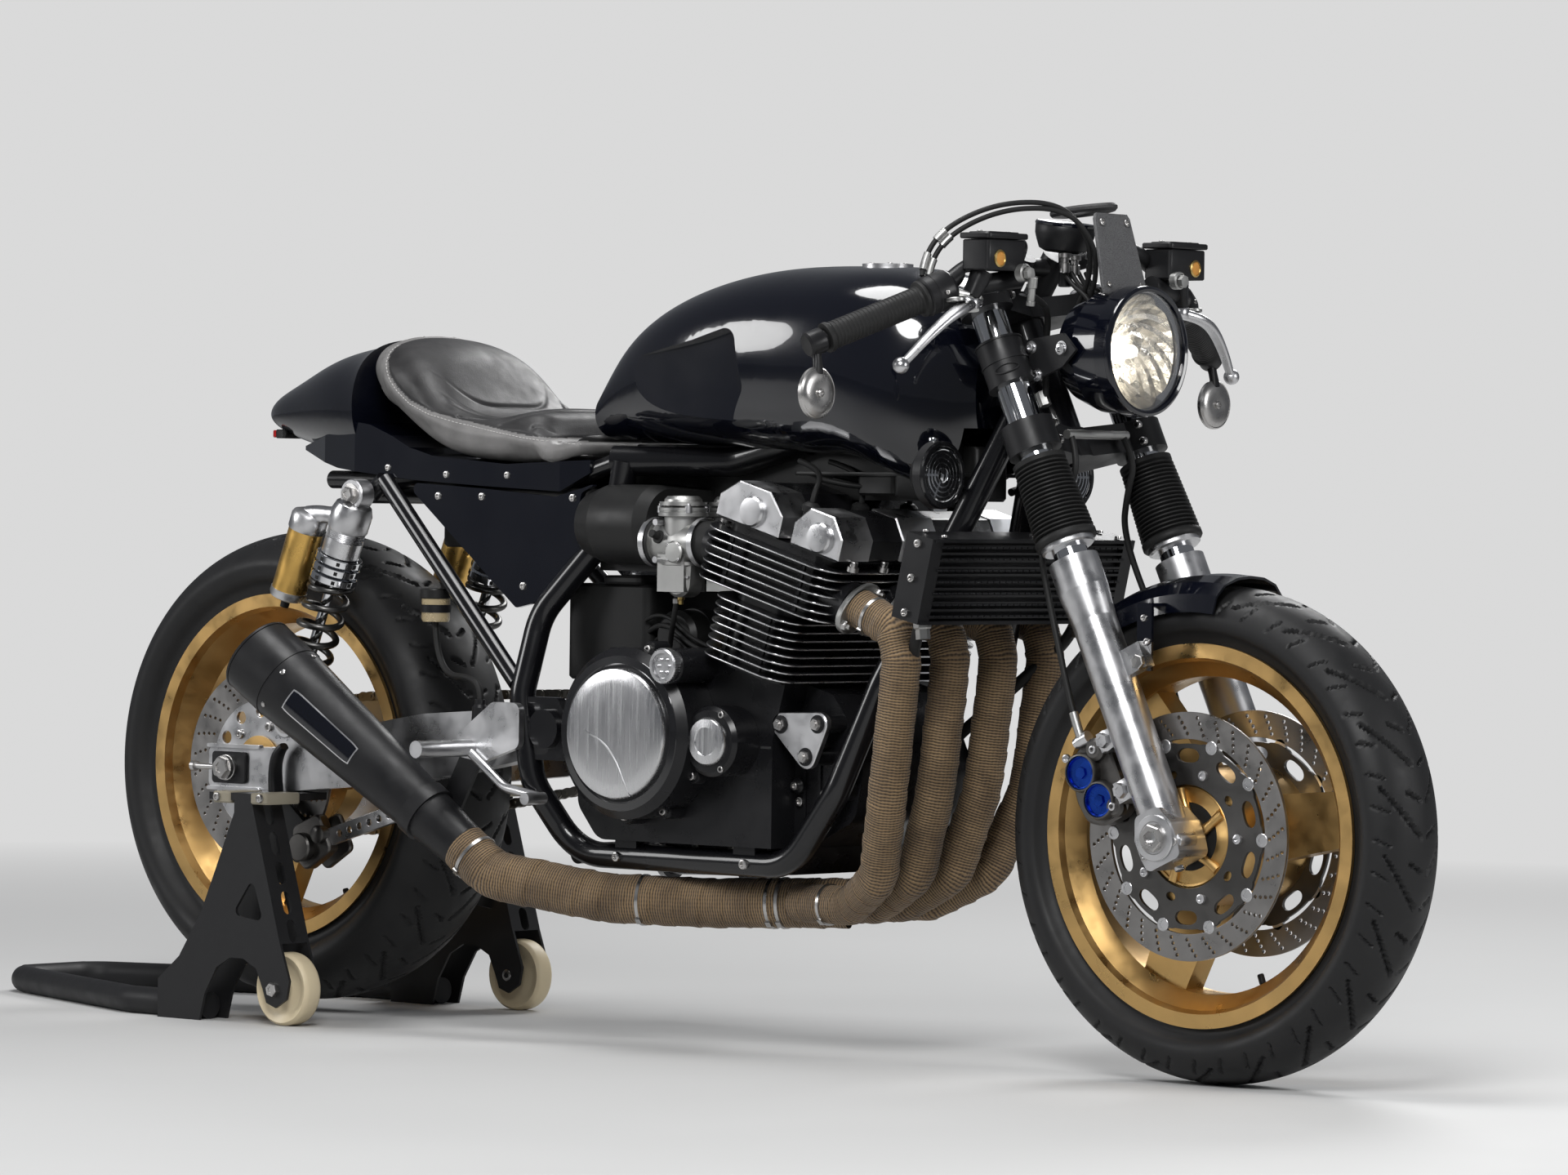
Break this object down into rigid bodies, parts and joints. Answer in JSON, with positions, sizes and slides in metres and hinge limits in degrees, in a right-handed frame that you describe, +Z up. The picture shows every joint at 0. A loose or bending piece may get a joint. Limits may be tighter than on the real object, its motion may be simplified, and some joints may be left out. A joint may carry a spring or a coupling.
{
  "type": "cafe racer motorcycle",
  "caption": "Cafe racer motorcycle with an air-cooled inline engine, wrapped exhaust, gold wheels and a leather solo seat, lifted on its rear paddock stand.",
  "frame": {"origin": "on the floor under the middle of the whole machine's bounding box", "axes": "+X forward, +Y to the rider's left, +Z up"},
  "size_m": [2.3649, 0.828, 1.0558],
  "materials": {
    "gloss_black_paint": "gloss",
    "frame_black": "gloss",
    "engine_black": "satin",
    "satin_black": "satin",
    "stand_black": "matte",
    "bright_aluminium": "satin",
    "cast_aluminium": "rough",
    "chrome": "polished",
    "steel": "satin",
    "gold_wheel": "satin",
    "rubber": "matte",
    "tyre": "matte",
    "seat_leather": "satin",
    "wrap": "woven",
    "lamp_glass": "clear",
    "tail_red": "gloss",
    "black_plastic": "matte",
    "roller_cream": "satin"
  },
  "bodies": {
    "main": {"frame_cradle": "frame_black", "frame_subframe": "frame_black", "swingarm": "bright_aluminium", "rear_axle": "steel", "chain": "steel", "crankcase": "engine_black", "clutch_cover": "engine_black", "clutch_face": "bright_aluminium", "engine_side_covers": "engine_black", "front_sprocket": "steel", "cylinder_block": "engine_black", "cylinder_head": "engine_black", "cam_covers": "engine_black", "carburettors": "cast_aluminium", "intake_manifolds": "rubber", "airbox": "black_plastic", "side_covers": "gloss_black_paint", "fuel_tank": "gloss_black_paint", "fuel_cap": "bright_aluminium", "tail_cowl": "gloss_black_paint", "seat_pad": "seat_leather", "tail_lamp": "tail_red", "exhaust_headers": "wrap", "silencer": "satin_black", "oil_cooler": "satin_black", "horns": "satin_black", "rear_shocks": "satin_black", "shock_springs": "satin_black", "rearsets": "bright_aluminium", "rear_caliper": "satin_black", "rear_brake_reservoir": "black_plastic", "paddock_stand": "stand_black"},
    "steering_assembly": {"triple_clamps": "satin_black", "fork_tubes": "chrome", "fork_gaiters": "rubber", "fork_sliders": "bright_aluminium", "front_axle": "steel", "front_fender": "gloss_black_paint", "brake_hoses": "rubber", "front_calipers": "satin_black", "headlamp_shell": "gloss_black_paint", "headlamp_lens": "lamp_glass", "headlamp_brackets": "satin_black", "handlebar": "satin_black", "grips": "rubber", "levers": "bright_aluminium", "master_cylinders": "satin_black", "bar_end_mirrors": "satin_black", "instrument": "satin_black"},
    "front_wheel": {"front_rim": "gold_wheel", "front_tyre": "tyre", "front_discs": "steel", "front_disc_carriers": "satin_black"},
    "rear_wheel": {"rear_rim": "gold_wheel", "rear_tyre": "tyre", "rear_disc": "steel", "rear_sprocket": "bright_aluminium"},
    "roller_right": {"stand_roller_right": "roller_cream"},
    "roller_left": {"stand_roller_left": "roller_cream"},
    "side_stand": {"side_stand_leg": "frame_black"}
  },
  "joints": [
    {"name": "steering", "type": "hinge", "parent": "main", "child": "steering_assembly", "pos_m": [0.84987, 0, 0.28479], "axis": [-0.4226, 0, 0.9063], "range_deg": [-30, 30]},
    {"name": "front_wheel_spin", "type": "hinge", "parent": "steering_assembly", "child": "front_wheel", "pos_m": [0.8825, 0, 0.3], "axis": [0, 1, 0], "continuous": true},
    {"name": "rear_wheel_spin", "type": "hinge", "parent": "main", "child": "rear_wheel", "pos_m": [-0.6575, 0, 0.33], "axis": [0, 1, 0], "continuous": true},
    {"name": "roller_right_spin", "type": "hinge", "parent": "main", "child": "roller_right", "pos_m": [-0.4815, -0.22, 0.048], "axis": [0, 1, 0], "continuous": true},
    {"name": "roller_left_spin", "type": "hinge", "parent": "main", "child": "roller_left", "pos_m": [-0.4815, 0.22, 0.048], "axis": [0, 1, 0], "continuous": true},
    {"name": "side_stand_swing", "type": "hinge", "parent": "main", "child": "side_stand", "pos_m": [-0.0025, 0.176, 0.214], "axis": [0, -1, 0], "range_deg": [0, 100]}
  ]
}
